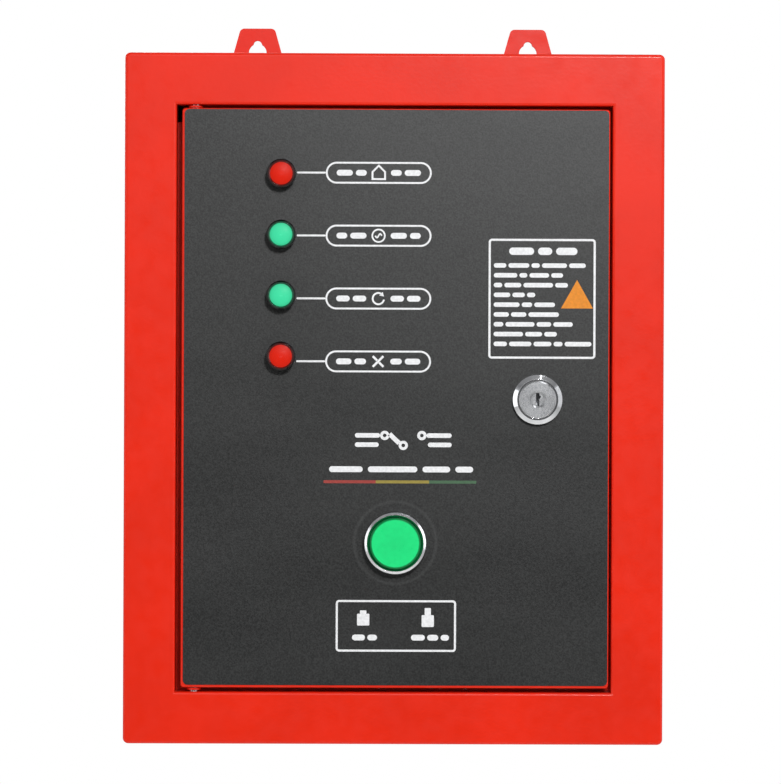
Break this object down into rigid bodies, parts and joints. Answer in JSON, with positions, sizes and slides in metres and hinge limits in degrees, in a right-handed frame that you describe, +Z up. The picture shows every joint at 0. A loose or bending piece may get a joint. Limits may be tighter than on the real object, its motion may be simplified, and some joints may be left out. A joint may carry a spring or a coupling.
{
  "type": "transfer switch box",
  "caption": "Wall-hung steel transfer switch box with a flush hinged door, pilot lamps, an illuminated push-button, a cam lock and switchgear inside.",
  "frame": {"origin": "centre of the back face, where the box meets the wall", "axes": "+X to the right seen from the front, +Y into the wall, +Z up"},
  "size_m": [0.25, 0.1603, 0.3512],
  "materials": {
    "red_paint": "semi-gloss",
    "overlay": "fine-grained matt",
    "seal_foam": "matt",
    "black_rubber": "matt",
    "zinc_steel": "zinc plated",
    "chrome": "polished",
    "brass": "satin",
    "black_plastic": "gloss",
    "grey_plastic": "matt",
    "dark_plastic": "matt",
    "white_plastic": "matt",
    "relay_clear": "clear",
    "red_lens": "gloss",
    "green_lens": "gloss",
    "button_green": "gloss",
    "blue_plastic": "gloss",
    "board_green": "satin",
    "aluminium": "satin",
    "wire_brown": "satin",
    "wire_blue": "satin",
    "wire_red": "satin"
  },
  "bodies": {
    "enclosure": {"enclosure_shell": "red_paint", "front_frame": "red_paint", "gland_plate": "zinc_steel", "gland_screws": "zinc_steel", "left_mounting_ear": "red_paint", "right_mounting_ear": "red_paint", "cable_grommets": "black_rubber", "hinge_pins": "zinc_steel", "hinge_washers": "red_paint", "earth_stud": "brass", "earth_nuts": "brass", "plate_studs": "zinc_steel", "mounting_plate": "zinc_steel", "plate_nuts": "zinc_steel", "mounting_rails": "zinc_steel", "rail_screws": "zinc_steel", "mains_contactor_body": "dark_plastic", "generator_contactor_body": "dark_plastic", "interlock_housing": "grey_plastic", "relay_socket": "dark_plastic", "control_relay": "relay_clear", "breaker_body": "white_plastic", "terminal_blocks": "grey_plastic", "terminal_screws": "zinc_steel", "end_stops": "dark_plastic", "board_standoffs": "brass", "control_board": "board_green", "board_transformer": "dark_plastic", "board_relays": "blue_plastic", "board_terminals": "board_green", "charger_module": "aluminium", "mains_wires": "wire_brown", "generator_wires": "wire_red", "load_wires": "wire_blue"},
    "door": {"door_panel": "red_paint", "door_overlay": "overlay", "door_seal": "seal_foam", "lamp_nuts": "zinc_steel", "button_ring_seal": "black_rubber", "button_bezel": "chrome", "button_nut": "black_plastic", "contact_block": "black_plastic", "button_spring": "zinc_steel", "lock_barrel": "chrome", "lock_nut": "zinc_steel", "mains_lamp_body": "black_plastic", "mains_lamp_lens": "red_lens", "generator_lamp_body": "black_plastic", "generator_lamp_lens": "green_lens", "auto_lamp_body": "black_plastic", "auto_lamp_lens": "green_lens", "fault_lamp_body": "black_plastic", "fault_lamp_lens": "red_lens"},
    "lock": {"lock_plug": "chrome", "lock_cam": "zinc_steel", "cam_screw": "zinc_steel"},
    "button": {"button_cap": "button_green"},
    "mains_carrier": {"mains_contact_carrier": "grey_plastic"},
    "generator_carrier": {"generator_contact_carrier": "grey_plastic"},
    "toggle": {"breaker_toggle": "black_plastic"}
  },
  "joints": [
    {"name": "door_hinge", "type": "hinge", "parent": "enclosure", "child": "door", "pos_m": [-0.0924, -0.145, 0], "axis": [0, 0, -1], "range_deg": [0, 105]},
    {"name": "lock_turn", "type": "hinge", "parent": "door", "child": "lock", "pos_m": [0.0664, -0.15, -0.0001], "axis": [0, 1, 0], "range_deg": [0, 90]},
    {"name": "button_press", "type": "slide", "parent": "door", "child": "button", "axis": [0, 1, 0], "range_m": [0, 0.004], "stiffness_N_per_m": 150, "deforming": ["button_spring"]},
    {"name": "mains_pull_in", "type": "slide", "parent": "enclosure", "child": "mains_carrier", "axis": [0, 1, 0], "range_m": [0, 0.004], "stiffness_N_per_m": 400},
    {"name": "generator_pull_in", "type": "slide", "parent": "enclosure", "child": "generator_carrier", "axis": [0, 1, 0], "range_m": [0, 0.004], "stiffness_N_per_m": 400},
    {"name": "breaker_throw", "type": "hinge", "parent": "enclosure", "child": "toggle", "pos_m": [0.066, -0.076, 0.06], "axis": [1, 0, 0], "range_deg": [0, 70]}
  ]
}
